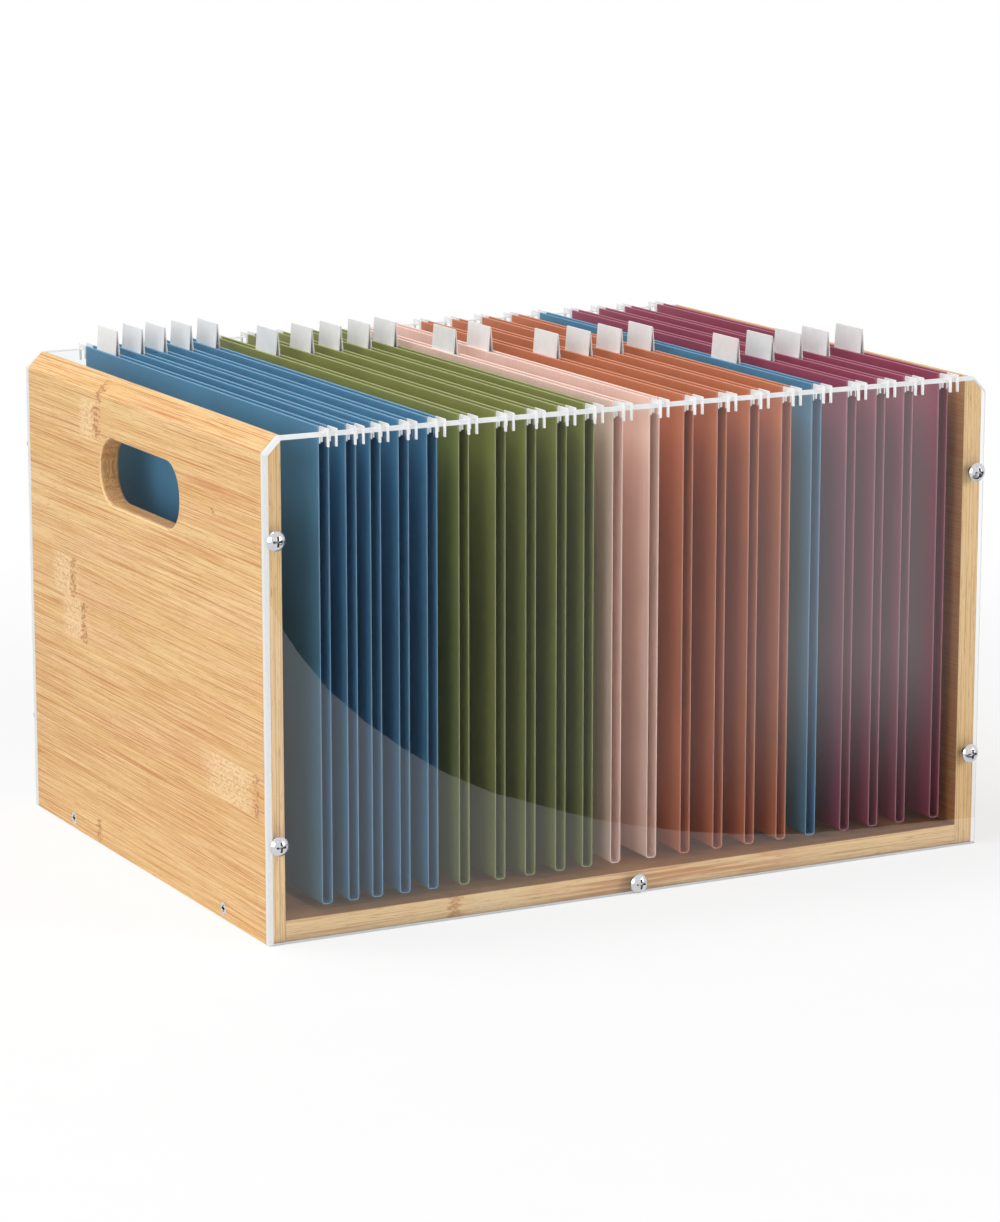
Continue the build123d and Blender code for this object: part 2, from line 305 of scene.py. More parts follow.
def base_board(name):
    """Rows of four corners: X and Y are the half sizes less the inset, Z is the height."""
    inset, height = quarter_round(BASE_EDGE, 4)
    insets = np.concatenate([[BASE_HOLD], inset, inset[::-1], [BASE_HOLD]])
    heights = np.concatenate([[0.0], height, BASE_THICK - height[::-1], [BASE_THICK]])
    corners = np.array([(-1, -1), (1, -1), (1, 1), (-1, 1)], float)
    half = np.array([SIDE_FACE - SIDE_THICK, SIDE_END])
    flat = corners[None] * (half - insets[:, None])[:, None, :]
    loops = np.concatenate([flat, np.broadcast_to(heights[:, None, None], (len(heights), 4, 1))], axis=-1)
    return loft(name, loops)


bamboo_base = base_board("bamboo_base")
print("base board faces:", len(bamboo_base.data.polygons))

# %% [markdown]
# ## Folded sheets
# A hanging folder is one sheet of stiff card. Each top edge is turned over a hanger bar
# and glued down, and the middle is folded round at the bottom. Seen from the end it is a
# thin ribbon that only ever turns one way: hem, crest, leaf, bottom fold, leaf, crest and
# hem. So its profile is a chain of arcs with straight runs between them, and each skin of
# the card is the same chain with its radii half a thickness larger or smaller. The packed
# sheets give the folder's width, length and heights.

# %% The ribbon of a folder
folder_names = [name[: -len("_sheet")] for name in nodes if name.endswith("_sheet")]
sheet_low, sheet_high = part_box(folder_names[0] + "_sheet")
HALF_WIDTH = round((sheet_high.x - sheet_low.x) / 2 / MM, 2)
SHEET_END = round(sheet_high.y / MM, 2)
SHEET_TOP, SHEET_BOTTOM = round(sheet_high.z / MM, 2), round(sheet_low.z / MM, 2)
SHEET = 0.35
HALF_MOUTH, HEM_TIP, HEM_DROP = 1.5, 2.36, 8.8
CREST_ROUND, HEM_ROUND, FOLD_ROUND = 0.475, 0.45, 1.8
HEM_ARC_Z, CREST_Z = SHEET_TOP - HEM_DROP + HEM_ROUND, SHEET_TOP - CREST_ROUND
HEM_ARCS = [
    (HEM_TIP, HEM_ARC_Z, HEM_ROUND - SHEET / 2, -90, -90, 1),
    (HALF_MOUTH + HEM_ROUND, HEM_ARC_Z, HEM_ROUND - SHEET / 2, -90, -180, 5),
    (HALF_MOUTH + CREST_ROUND, CREST_Z, CREST_ROUND - SHEET / 2, 180, 90, 5),
    (HALF_WIDTH - CREST_ROUND, CREST_Z, CREST_ROUND - SHEET / 2, 90, 0, 5),
]
FOLD_ARC = (HALF_WIDTH - FOLD_ROUND, SHEET_BOTTOM + FOLD_ROUND, FOLD_ROUND - SHEET / 2, 0, -90, 9)
RIBBON_CRISP = 50.0


def arc_chain(arcs):
    """Middle, radius and direction of each point on a chain of arcs (x, z, radius, from, to, points)."""
    middles = np.concatenate([np.tile([x, z], (count, 1)) for x, z, _, _, _, count in arcs])
    radii = np.concatenate([np.full(count, radius) for _, _, radius, _, _, count in arcs])
    degrees = np.concatenate([np.linspace(start, end, count) for _, _, _, start, end, count in arcs])
    turns = np.radians(degrees)
    return middles, radii, np.stack([np.cos(turns), np.sin(turns)], axis=-1)


def folder_ribbon(name, middle_x):
    """A folder's card: the right half's arcs, then the same mirrored in reverse, offset half
    a thickness both ways and carried from the front edge to the rear edge."""
    middles, radii, ways = arc_chain(HEM_ARCS + [FOLD_ARC])
    flip = np.array([-1.0, 1.0])
    middles = np.concatenate([middles, middles[::-1] * flip])
    radii = np.concatenate([radii, radii[::-1]])
    ways = np.concatenate([ways, ways[::-1] * flip])
    outer = middles + (radii + SHEET / 2)[:, None] * ways
    inner = middles + (radii - SHEET / 2)[:, None] * ways
    section = np.concatenate([outer, inner[::-1]])
    count = len(section)
    points = np.empty((2, count, 3))
    points[..., 0] = section[:, 0] + middle_x
    points[..., 2] = section[:, 1]
    points[0, :, 1] = -SHEET_END
    points[1, :, 1] = SHEET_END
    k = np.arange(count // 2 - 1)
    cap = np.stack([k, k + 1, count - 2 - k, count - 1 - k], axis=-1)
    faces = grid_faces(2, count, False) + cap.tolist() + (cap + count).tolist()
    return make_piece(name, points, faces, RIBBON_CRISP)


ribbons = {}
for folder in folder_names:
    low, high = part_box(folder + "_sheet")
    ribbons[folder] = folder_ribbon(folder + "_card", (low.x + high.x) / 2 / MM)
print("folders:", len(ribbons), "faces each:", len(ribbons[folder_names[0]].data.polygons))

# %% [markdown]
# ## Helpers for materials
# A material in Blender is a small graph of nodes. A few helpers keep the graphs short to
# write: the first two add any node and feed its sockets, and the others stand for a sum,
# a product, a mix of colours, a ramp, a noise, or the place of the shaded point. Each
# returns an output socket or a node that the next step can use.

# %% Add and feed shader nodes
def feed(tree, socket, value):
    """Put value in a socket: a link if it is another node's socket, else a plain value."""
    if isinstance(value, bpy.types.NodeSocket):
        tree.links.new(value, socket)
    elif isinstance(value, tuple) and socket.type == "RGBA":
        socket.default_value = value + (1.0,)
    else:
        socket.default_value = value


def add(tree, kind, inputs=None, **settings):
    """One new node of a kind. settings are its own options, inputs its sockets by name or number."""
    node = tree.nodes.new(kind)
    for name, value in settings.items():
        setattr(node, name, value)
    for key, value in (inputs or {}).items():
        feed(tree, node.inputs[key], value)
    return node


def calc(tree, operation, a, b=0.0, c=0.0):
    """A Math node: operation on a, b and c, where each is a number or a socket."""
    node = add(tree, "ShaderNodeMath", operation=operation)
    for socket, value in zip(node.inputs, (a, b, c)):
        feed(tree, socket, value)
    return node.outputs[0]


def times(tree, *factors):
    """The product of two or more numbers or sockets."""
    product = factors[0]
    for factor in factors[1:]:
        product = calc(tree, "MULTIPLY", product, factor)
    return product


def below(tree, value, limit):
    """1 where value is less than limit, and 0 elsewhere."""
    return calc(tree, "LESS_THAN", value, limit)


def choose(tree, share, first, second):
    """first where share is 0 and second where it is 1."""
    rest = calc(tree, "SUBTRACT", 1.0, share)
    return calc(tree, "MULTIPLY_ADD", second, share, times(tree, first, rest))


def blend_colour(tree, share, first, second):
    """The colour that goes from first to second as share goes from 0 to 1. A Mix node has its
    two colours in sockets 6 and 7, and gives the mixed colour out of socket 2."""
    node = add(tree, "ShaderNodeMix", {0: share}, data_type="RGBA")
    feed(tree, node.inputs[6], first)
    feed(tree, node.inputs[7], second)
    return node.outputs[2]


def ramp(tree, value, low, high, to_low=0.0, to_high=1.0):
    """value taken from low..high to to_low..to_high, smooth at both ends and held past them."""
    node = add(tree, "ShaderNodeMapRange", interpolation_type="SMOOTHSTEP")
    for key, number in zip((0, 1, 2, 3, 4), (value, low, high, to_low, to_high)):
        feed(tree, node.inputs[key], number)
    return node.outputs[0]


def colour_steps(tree, value, steps):
    """A colour ramp: steps is a list of (place from 0 to 1, colour)."""
    node = add(tree, "ShaderNodeValToRGB", {0: value})
    bar = node.color_ramp.elements
    while len(bar) < len(steps):
        bar.new(0.5)
    for element, (place, colour) in zip(bar, steps):
        element.position = place
        element.color = colour + (1.0,)
    return node.outputs[0]


def speckle(tree, x, y, z, spans, detail=2.0, roughness=0.5):
    """Soft random values from 0 to 1, with spots that measure spans in millimetres along X, Y
    and Z: each coordinate is divided by its span, and noise has one spot to a unit."""
    parts = [calc(tree, "DIVIDE", value, span) for value, span in zip((x, y, z), spans)]
    place = add(tree, "ShaderNodeCombineXYZ", dict(enumerate(parts))).outputs[0]
    inputs = {"Vector": place, "Scale": 1.0, "Detail": detail, "Roughness": roughness}
    return add(tree, "ShaderNodeTexNoise", inputs).outputs[0]


def chance_of(tree, number):
    """A random value from 0 to 1 that belongs to a number, always the same one."""
    return add(tree, "ShaderNodeTexWhiteNoise", {"W": number}, noise_dimensions="1D").outputs[0]


def coordinates(tree, output, scale):
    """X, Y and Z of one output of Texture Coordinate, times scale."""
    place = add(tree, "ShaderNodeTexCoord").outputs[output]
    scaled = add(tree, "ShaderNodeVectorMath", {0: place, 1: (scale, scale, scale)}, operation="MULTIPLY")
    return add(tree, "ShaderNodeSeparateXYZ", {0: scaled.outputs[0]}).outputs


def millimetres(tree):
    """X, Y and Z of the shaded point in millimetres."""
    return coordinates(tree, "Object", 1.0 / MM)


def facing(tree):
    """X, Y and Z of the direction that the surface faces, a vector of length 1."""
    return coordinates(tree, "Normal", 1.0)


def new_material(name):
    """A material with an empty graph, and its graph."""
    material = bpy.data.materials.new(name)
    material.use_nodes = True
    material.node_tree.nodes.clear()
    return material, material.node_tree


def finish_material(tree, shader):
    """Send a shader to the material's output."""
    output = add(tree, "ShaderNodeOutputMaterial")
    tree.links.new(shader, output.inputs["Surface"])


def dress(node_name, material):
    """Give a CAD node this material."""
    nodes[node_name].material_slots[0].material = material

# %% [markdown]
# ## Bamboo
# Bamboo boards are glued up from strips about 22 mm wide. The wood is pale gold with fine
# sharp fibres, some of them red-brown, and each strip has a tone of its own. Here and there
# a strip crosses a joint of the cane: there the fibres break into short brown specks, and
# the wood beside it is paler. Noise drawn out along the grain and squeezed across it gives
# the fibres at any size, so no picture of wood is needed. Each strip shifts the noise by a
# chance amount along the grain, so that no fibre runs on from one strip to the next.

# %% Colours of the wood
STRIP_TONES = [
    (0.20, (0.715, 0.405, 0.130)),
    (0.50, (0.790, 0.500, 0.195)),
    (0.80, (0.860, 0.600, 0.275)),
]
ROSY_WOOD = (0.800, 0.455, 0.230)
# Paler wood: painted light on the ends and a painted highlight on the slot's rims.
PALE_END_AND_LIGHT = (0.955, 0.670, 0.355)
PALE_FIBRE = (0.910, 0.670, 0.340)
BROWN_FIBRE = (0.580, 0.270, 0.075)
RED_HAIR = (0.545, 0.190, 0.052)
DARK_PORE = (0.430, 0.150, 0.042)
PALE_PATCH = (0.920, 0.680, 0.390)
JOINT_WOOD = (0.720, 0.400, 0.140)
JOINT_SPECK = (0.450, 0.165, 0.045)
RED_STREAK = (0.600, 0.225, 0.070)
# Brown of the sawn slot wall, also used as painted shade on the faces inside the box.
SAWN_WOOD_AND_SHADE = (0.430, 0.180, 0.075)
print("strip tones:", len(STRIP_TONES))

# %% Strips and fibres
STRIP_WIDTH, FIRST_STRIP = 22.5, 107.5
STRIP_SHIFT = 900.0
NEXT_CHANCE = 40.5


def strip_colour(tree, wood, strip, chance):
    """Tone = soft noise along the strip plus the strip's own chance. Some strips blush."""
    broad = speckle(tree, *wood, (150.0, 5.5, 5.5))
    tone = calc(tree, "MULTIPLY_ADD", calc(tree, "SUBTRACT", broad, 0.5), 0.9, 0.5)
    tone = calc(tree, "MULTIPLY_ADD", calc(tree, "SUBTRACT", chance, 0.5), 0.25, tone)
    colour = colour_steps(tree, tone, STRIP_TONES)
    rosy = chance_of(tree, calc(tree, "ADD", strip, NEXT_CHANCE))
    cloud = ramp(tree, speckle(tree, *wood, (90.0, 12.0, 12.0)), 0.35, 0.65)
    return blend_colour(tree, times(tree, rosy, cloud, 0.50), colour, ROSY_WOOD)


def with_fibres(tree, wood, colour, fibre, calm):
    """Pale and brown fibres from the two ends of one noise, then red hairs and dark pores.
    calm is below 1 where the dark ones show less."""
    hair = speckle(tree, *wood, (110.0, 0.45, 0.45), 3.0, 0.55)
    pore = speckle(tree, *wood, (9.0, 0.5, 0.5))
    brown = times(tree, ramp(tree, fibre, 0.48, 0.36, 0.0, 0.85), calm)
    red = times(tree, ramp(tree, hair, 0.55, 0.61, 0.0, 0.85), calm)
    colour = blend_colour(tree, ramp(tree, fibre, 0.50, 0.62, 0.0, 0.60), colour, PALE_FIBRE)
    colour = blend_colour(tree, brown, colour, BROWN_FIBRE)
    colour = blend_colour(tree, red, colour, RED_HAIR)
    return blend_colour(tree, ramp(tree, pore, 0.61, 0.69, 0.0, 0.50), colour, DARK_PORE)

# %% Patches: cane joints, paler wood beside them and red streaks
SOFT_OUTSIDE, SOFT_INSIDE = 0.3, 0.5


def patch(tree, along, across, middle, strip_middle, length, height):
    """1 inside a patch of one strip and 0 outside it. Its ends are soft, its long sides crisp."""
    off_along = calc(tree, "ABSOLUTE", calc(tree, "SUBTRACT", along, middle))
    off_across = calc(tree, "ABSOLUTE", calc(tree, "SUBTRACT", across, strip_middle))
    hump = ramp(tree, off_along, length / 2, length / 5)
    band = ramp(tree, off_across, height / 2 + SOFT_OUTSIDE, height / 2 - SOFT_INSIDE)
    return times(tree, hump, band)


def any_patch(tree, along, across, places):
    """The largest of several patches. places has a row for each: its middle along and across
    the fibres, its length and its height."""
    largest = 0.0
    for place in places:
        largest = calc(tree, "MAXIMUM", largest, patch(tree, along, across, *place))
    return largest


def with_cane_joints(tree, along, across, into, colour, calm, cane_joints, pale_patches, red_streaks):
    """Paler wood, browner joints with short specks in them, and red streaks. The patches'
    ends wander by noise. Returns the colour and the share of specks."""
    ragged = calc(tree, "SUBTRACT", speckle(tree, along, across, into, (9.0, 2.2, 2.2), 3.0), 0.5)
    wandering = calc(tree, "ADD", along, times(tree, ragged, 16.0))
    grit = speckle(tree, along, across, into, (3.2, 1.7, 1.7), 3.0, 0.6)
    pale = any_patch(tree, wandering, across, pale_patches)
    joint = any_patch(tree, wandering, across, cane_joints)
    red = any_patch(tree, wandering, across, red_streaks)
    pale_share = times(tree, pale, ramp(tree, grit, 0.42, 0.58, 0.15, 0.72))
    specks = times(tree, joint, calm, ramp(tree, grit, 0.47, 0.54, 1.0, 0.0))
    thread = speckle(tree, along, across, into, (60.0, 1.6, 1.6))
    streak = times(tree, red, ramp(tree, thread, 0.40, 0.60))
    colour = blend_colour(tree, pale_share, colour, PALE_PATCH)
    colour = blend_colour(tree, times(tree, joint, 0.65), colour, JOINT_WOOD)
    colour = blend_colour(tree, times(tree, specks, 0.90), colour, JOINT_SPECK)
    colour = blend_colour(tree, times(tree, streak, 0.75), colour, RED_STREAK)
    return colour, specks

# %% The whole bamboo
def bamboo(name, place, cane_joints, pale_patches, red_streaks):
    """A bamboo material. place gives three sockets in millimetres, along the fibres, across
    the strips and into the board, and then two shares from 0 to 1: of browner wood, which
    also paints shade, and of paler wood, which also paints light."""
    material, tree = new_material(name)
    along, across, into, brown_and_shade, pale_and_lit = place(tree)
    from_first = calc(tree, "SUBTRACT", across, FIRST_STRIP)
    strip = calc(tree, "FLOOR", calc(tree, "DIVIDE", from_first, STRIP_WIDTH))
    chance = chance_of(tree, strip)
    shifted = calc(tree, "MULTIPLY_ADD", chance, STRIP_SHIFT, along)
    wood = (shifted, across, into)
    fibre = speckle(tree, *wood, (55.0, 0.60, 0.60), 5.0, 0.70)
    calm = calc(tree, "MULTIPLY_ADD", pale_and_lit, -0.35, 1.0)

    colour = strip_colour(tree, wood, strip, chance)
    # Painted light: the ends and the slot's rims are made paler.
    colour = blend_colour(tree, times(tree, pale_and_lit, 0.85), colour, PALE_END_AND_LIGHT)
    colour = with_fibres(tree, wood, colour, fibre, calm)
    marks = (cane_joints, pale_patches, red_streaks)
    colour, specks = with_cane_joints(tree, along, across, into, colour, calm, *marks)
    # The sawn slot wall is browner; the faces inside the box get the same brown as painted shade.
    colour = blend_colour(tree, times(tree, brown_and_shade, 0.62), colour, SAWN_WOOD_AND_SHADE)

    relief = calc(tree, "SUBTRACT", fibre, times(tree, specks, 0.5))
    bump = add(tree, "ShaderNodeBump", {"Strength": 0.10, "Distance": 0.0002, "Height": relief})
    shader = add(tree, "ShaderNodeBsdfPrincipled", {
        "Base Color": colour,
        "Roughness": ramp(tree, fibre, 0.30, 0.70, 0.56, 0.46),
        "Normal": bump.outputs[0],
    })
    finish_material(tree, shader.outputs[0])
    print(name, "has", len(tree.nodes), "nodes")
    return material

# %% [markdown]
# The fibres of a side panel run from front to rear. On its narrow front and rear faces the
# layers of the board show as upright lines, so there the place along the fibres is Z and
# the place across them is X. The normal says which face is which. The wall of the handle
# slot cuts through the fibres and has drunk more oil, so it is browner. The faces inside
# the box get the same brown as painted shade, the ends are made paler as painted light,
# and the slot's rounded rims are made paler as a painted highlight.

# %% Bamboo for the side panels and the base
LOOKS_ALONG, ON_EDGE, ROUNDED = 0.7, 0.55, 0.97
SLOT_REACH_Y, SLOT_REACH_Z = 60.0, 30.0
BASE_SHIFT = 3.0


def near_slot(tree, y, z):
    """1 near the handle slot, and 0 elsewhere."""
    beside = below(tree, calc(tree, "ABSOLUTE", y), SLOT_REACH_Y)
    level = below(tree, calc(tree, "ABSOLUTE", calc(tree, "SUBTRACT", z, SLOT_Z)), SLOT_REACH_Z)
    return times(tree, beside, level)


def side_place(tree):
    """Y, Z and X on the faces, turned round on the right panel so that the two differ; Z, X
    and Y on the ends. Browner on the slot's wall, in strokes, and, as painted shade, on the
    inner face; paler, as painted light, on the ends and, as a painted highlight, on the
    slot's rounded rims."""
    x, y, z = millimetres(tree)
    normal = facing(tree)
    outward = calc(tree, "SIGN", x)
    sideways = calc(tree, "ABSOLUTE", normal[0])
    by_slot = near_slot(tree, y, z)
    end = calc(tree, "GREATER_THAN", calc(tree, "ABSOLUTE", normal[1]), LOOKS_ALONG)
    turned = times(tree, y, outward, -1.0)
    edge = below(tree, sideways, ON_EDGE)
    wall = times(tree, edge, by_slot)
    # Painted shade: the face inside the box is made browner.
    shaded_inside = below(tree, times(tree, normal[0], outward), -LOOKS_ALONG)
    strokes = ramp(tree, speckle(tree, x, y, z, (12.0, 1.3, 30.0), 3.0), 0.42, 0.58, 0.25, 0.85)
    brown_and_shade = calc(tree, "MAXIMUM", times(tree, wall, strokes), shaded_inside)
    # Painted highlight on the slot's rounded rims.
    rounded = times(tree, below(tree, sideways, ROUNDED), calc(tree, "SUBTRACT", 1.0, edge))
    rim = times(tree, rounded, 0.8, by_slot)
    # Painted light makes the ends paler; the rims' painted highlight joins it.
    pale_and_lit = calc(tree, "MAXIMUM", rim, times(tree, end, calc(tree, "SUBTRACT", 1.0, wall)))
    return choose(tree, end, turned, z), choose(tree, end, z, x), choose(tree, end, x, y), brown_and_shade, pale_and_lit


def base_place(tree):
    """X along the fibres, Y across them and Z into the board. A painted shade makes the top,
    which is inside the box, browner, and painted light makes the front and rear paler."""
    x, y, z = millimetres(tree)
    normal = facing(tree)
    # Painted light: the front and rear are made paler.
    end = calc(tree, "GREATER_THAN", calc(tree, "ABSOLUTE", normal[1]), LOOKS_ALONG)
    # Painted shade: the top, inside the box, is made browner.
    shaded_inside = calc(tree, "GREATER_THAN", normal[2], LOOKS_ALONG)
    return x, calc(tree, "ADD", y, BASE_SHIFT), z, shaded_inside, end


side_bamboo = bamboo(
    "side_bamboo",
    side_place,
    cane_joints=[
        (56.0, 231.0, 12.0, 17.0),
        (52.0, 247.5, 10.0, 12.0),
        (35.0, 222.5, 9.0, 9.0),
        (93.0, 141.0, 10.0, 22.0),
        (79.0, 118.7, 10.0, 22.0),
        (-143.0, 73.8, 7.0, 22.0),
        (62.8, 6.5, 8.0, 14.0),
        (-95.0, 208.5, 4.0, 4.0),
        (148.0, 34.0, 5.0, 5.0),
    ],
    pale_patches=[
        (-110.0, 73.8, 76.0, 22.0),
        (104.0, 141.0, 46.0, 22.0),
        (92.0, 118.7, 44.0, 22.0),
        (66.0, 231.0, 34.0, 21.5),
    ],
    red_streaks=[(-105.0, 219.5, 110.0, 7.0), (-30.0, 96.5, 160.0, 3.0), (-60.0, 186.0, 120.0, 2.5)],
)
base_bamboo = bamboo(
    "base_bamboo",
    base_place,
    cane_joints=[(-104.0, -149.0, 9.0, 16.0), (96.0, -120.0, 9.0, 22.0), (-130.0, 20.0, 9.0, 22.0)],
    pale_patches=[(120.0, -120.0, 44.0, 22.0), (-80.0, -149.0, 44.0, 16.0)],
    red_streaks=[(20.0, -152.0, 200.0, 6.0)],
)
stand_for(side_boards["left_bamboo_side"], "left_side_panel", side_bamboo)
stand_for(side_boards["right_bamboo_side"], "right_side_panel", side_bamboo)
stand_for(bamboo_base, "base_board", base_bamboo)

# %% [markdown]
# ## Clear panels
# The panels are 5 mm clear acrylic. Seen face on, such a sheet lets nearly all the light
# through and mirrors about 4 percent at each of its two faces, more at a slant. Its sawn
# and chamfered edges scatter light and look white, and their white is also a painted
# highlight that stands for light caught inside the sheet. One material does both: a
# Transparent shader with a Fresnel mirror on the faces, and a frosted white on the edges,
# picked by the normal. A single stronger mirror, where a ray enters, stands for the mirrors
# of both faces, so that nothing shows twice. Real glass shaders would bend the light too,
# but a flat sheet hardly shows that, and they block the lamps that light the folders behind.

# %% Clear acrylic with white edges
ACRYLIC_IOR = 1.49
TWO_FACES = 1.7
FLAT_FACE = 0.9
CLEAR_TINT = (0.985, 0.992, 0.99)
# Edge whites: partly frosting, partly a painted highlight for light caught in the sheet.
FROSTED_AND_GLOW_WHITES = [(0.3, (0.72, 0.745, 0.75)), (0.7, (0.79, 0.80, 0.80))]


def acrylic():
    """Mirror share where a ray enters = TWO_FACES times the Fresnel share of one face, up to 1."""
    material, tree = new_material("clear_acrylic_panel")
    x, y, z = millimetres(tree)
    flatness = calc(tree, "ABSOLUTE", facing(tree)[1])
    back = add(tree, "ShaderNodeNewGeometry").outputs["Backfacing"]
    front = calc(tree, "SUBTRACT", 1.0, back)
    edge = times(tree, below(tree, flatness, FLAT_FACE), front)
    haze = speckle(tree, x, y, z, (60.0, 60.0, 60.0), 3.0)
    fresnel = add(tree, "ShaderNodeFresnel", {"IOR": ACRYLIC_IOR}).outputs[0]
    mirror_share = calc(tree, "MINIMUM", times(tree, fresnel, TWO_FACES, front), 1.0)
    through = add(tree, "ShaderNodeBsdfTransparent", {"Color": CLEAR_TINT})
    mirror = add(tree, "ShaderNodeBsdfGlossy", {
        "Color": (1.0, 1.0, 1.0),
        "Roughness": ramp(tree, haze, 0.3, 0.7, 0.0005, 0.002),
    })
    face = add(tree, "ShaderNodeMixShader", {0: mirror_share, 1: through.outputs[0], 2: mirror.outputs[0]})
    frost = speckle(tree, x, y, z, (2.0, 0.5, 2.0), 3.0)
    # The edges' white is partly their frosting and partly a painted highlight.
    white = colour_steps(tree, frost, FROSTED_AND_GLOW_WHITES)
    sawn = add(tree, "ShaderNodeBsdfPrincipled", {"Base Color": white, "Roughness": 0.35})
    whole = add(tree, "ShaderNodeMixShader", {0: edge, 1: face.outputs[0], 2: sawn.outputs[0]})
    finish_material(tree, whole.outputs[0])
    return material


clear_panel = acrylic()
dress("front_clear_panel", clear_panel)
dress("rear_clear_panel", clear_panel)
print("clear panels dressed")

# %% [markdown]
# ## Screws
# The screws are chromed steel with cross recesses. Chrome shows little of its own: it
# mirrors the bright room and the dark card in front of the box. Fine turning marks blur
# the mirror a little, and the recess gets a painted shade that darkens it where it is shut in.

# %% Chrome for the screws
STEEL_TONES = [(0.3, (0.52, 0.53, 0.55)), (0.7, (0.72, 0.72, 0.73))]
RECESS_SHADE = (0.10, 0.10, 0.11)
RECESS_REACH = 1.5 * MM
SCREW_ROUNDING = 0.25 * MM


def chrome():
    """Metal whose colour and roughness go up and down with fine noise, with a painted shade that darkens it
    where it is shut in.
    """
    material, tree = new_material("screw_chrome")
    x, y, z = millimetres(tree)
    marks = speckle(tree, x, y, z, (0.5, 0.5, 0.5), 3.0)
    tone = colour_steps(tree, marks, STEEL_TONES)
    # Painted shade: ambient occlusion darkens the colour in the cross recess.
    open_share = add(tree, "ShaderNodeAmbientOcclusion", {"Distance": RECESS_REACH}, samples=8).outputs["AO"]
    tone = blend_colour(tree, ramp(tree, open_share, 0.35, 0.85), RECESS_SHADE, tone)
    rounded = add(tree, "ShaderNodeBevel", {"Radius": SCREW_ROUNDING}, samples=4)
    bump = add(tree, "ShaderNodeBump", {
        "Strength": 0.1,
        "Distance": 0.0001,
        "Height": marks,
        "Normal": rounded.outputs[0],
    })
    shader = add(tree, "ShaderNodeBsdfPrincipled", {
        "Base Color": tone,
        "Metallic": 1.0,
        "Roughness": ramp(tree, marks, 0.3, 0.7, 0.08, 0.2),
        "Normal": bump.outputs[0],
    })
    finish_material(tree, shader.outputs[0])
    return material


screw_chrome = chrome()
for name in ("front_panel_screws", "rear_panel_screws", "left_base_screws", "right_base_screws"):
    dress(name, screw_chrome)
print("screws dressed")

# %% [markdown]
# ## Folder card
# The folders are dyed card. Card is matt, with a faint mottle and short fibres. Where it
# is cut, the paler core shows, and a painted highlight is laid over it; the crest, where
# the card is creased over the hanger bar, gets a painted highlight. The cut edges can be
# told by their place, less than 2 mm from the front and rear ends, and the crest by its
# normal, because it looks up.

# %% Card in five colours
CARD_COLOURS = {
    "blue": (0.076, 0.238, 0.395),
    "green": (0.235, 0.255, 0.066),
    "pink": (0.87, 0.62, 0.53),
    "orange": (0.56, 0.185, 0.085),
    "burgundy": (0.31, 0.055, 0.105),
}
CUT_FADE, CUT_WHOLE = 1.7, 0.4


def card(colour_name):
    """Dyed card: colour = dye, mottled by soft noise, lighter on cut edges as paler core and painted
    highlight, and on the crest as a painted highlight.
    """
    dye = CARD_COLOURS[colour_name]
    # A lighter tone of the dye, for the paler cut core and for painted highlights.
    pale_core_and_highlight = tuple(round(channel + 0.10, 3) for channel in dye)
    darker = tuple(round(0.93 * channel, 3) for channel in dye)
    lighter = tuple(round(min(1.0, 1.07 * channel), 3) for channel in dye)
    material, tree = new_material(colour_name + "_card")
    x, y, z = millimetres(tree)
    upward = facing(tree)[2]
    mottle = speckle(tree, x, y, z, (25.0, 25.0, 40.0), 3.0)
    fibre = speckle(tree, x, y, z, (0.8, 1.1, 28.0))
    value = calc(tree, "ADD", times(tree, mottle, 0.6), times(tree, fibre, 0.4))
    colour = colour_steps(tree, value, [(0.35, darker), (0.50, dye), (0.65, lighter)])
    # Cut edges: paler core with a painted highlight.
    cut = ramp(tree, calc(tree, "ABSOLUTE", y), SHEET_END - CUT_FADE, SHEET_END - CUT_WHOLE)
    # Painted highlight on the crest, picked by faces that look up.
    crest_highlight = times(tree, ramp(tree, upward, 0.3, 0.9), 0.6)
    colour = blend_colour(tree, calc(tree, "MAXIMUM", cut, crest_highlight), colour, pale_core_and_highlight)
    bump = add(tree, "ShaderNodeBump", {"Strength": 0.02, "Distance": 0.0001, "Height": fibre})
    shader = add(tree, "ShaderNodeBsdfPrincipled", {
        "Base Color": colour,
        "Roughness": ramp(tree, mottle, 0.3, 0.7, 0.54, 0.62),
        "Normal": bump.outputs[0],
    })
    finish_material(tree, shader.outputs[0])
    return material


cards = {colour_name: card(colour_name) for colour_name in CARD_COLOURS}
print("card colours:", ", ".join(cards))

# %% [markdown]
# ## Hanger and tab plastic
# Hooks and index tabs are white moulded plastic. A soft noise keeps the white and the
# gloss from being perfectly even.

# %% White plastic
PLASTIC_WHITES = [(0.3, (0.88, 0.88, 0.875)), (0.7, (0.95, 0.95, 0.945))]


def white_plastic():
    """Near-white plastic with a satin skin."""
    material, tree = new_material("hanger_plastic")
    x, y, z = millimetres(tree)
    cloud = speckle(tree, x, y, z, (6.0, 6.0, 6.0), 3.0)
    tone = colour_steps(tree, cloud, PLASTIC_WHITES)
    shader = add(tree, "ShaderNodeBsdfPrincipled", {
        "Base Color": tone,
        "Roughness": ramp(tree, cloud, 0.3, 0.7, 0.28, 0.42),
    })
    finish_material(tree, shader.outputs[0])
    return material


hanger_plastic = white_plastic()
for folder, ribbon in ribbons.items():
    colour_name = folder.split("_")[0]
    dress(folder + "_hangers", hanger_plastic)
    stand_for(ribbon, folder + "_sheet", cards[colour_name])

# %% [markdown]
# ## Camera
# The photograph was taken from the left and a little above, from about 2.3 m away with a
# long lens. The camera's place and lens come from fitting some thirty known points of
# the box to the picture. The picture is 1000 by 1222 pixels, and Blender's sensor width
# goes with the longer side.

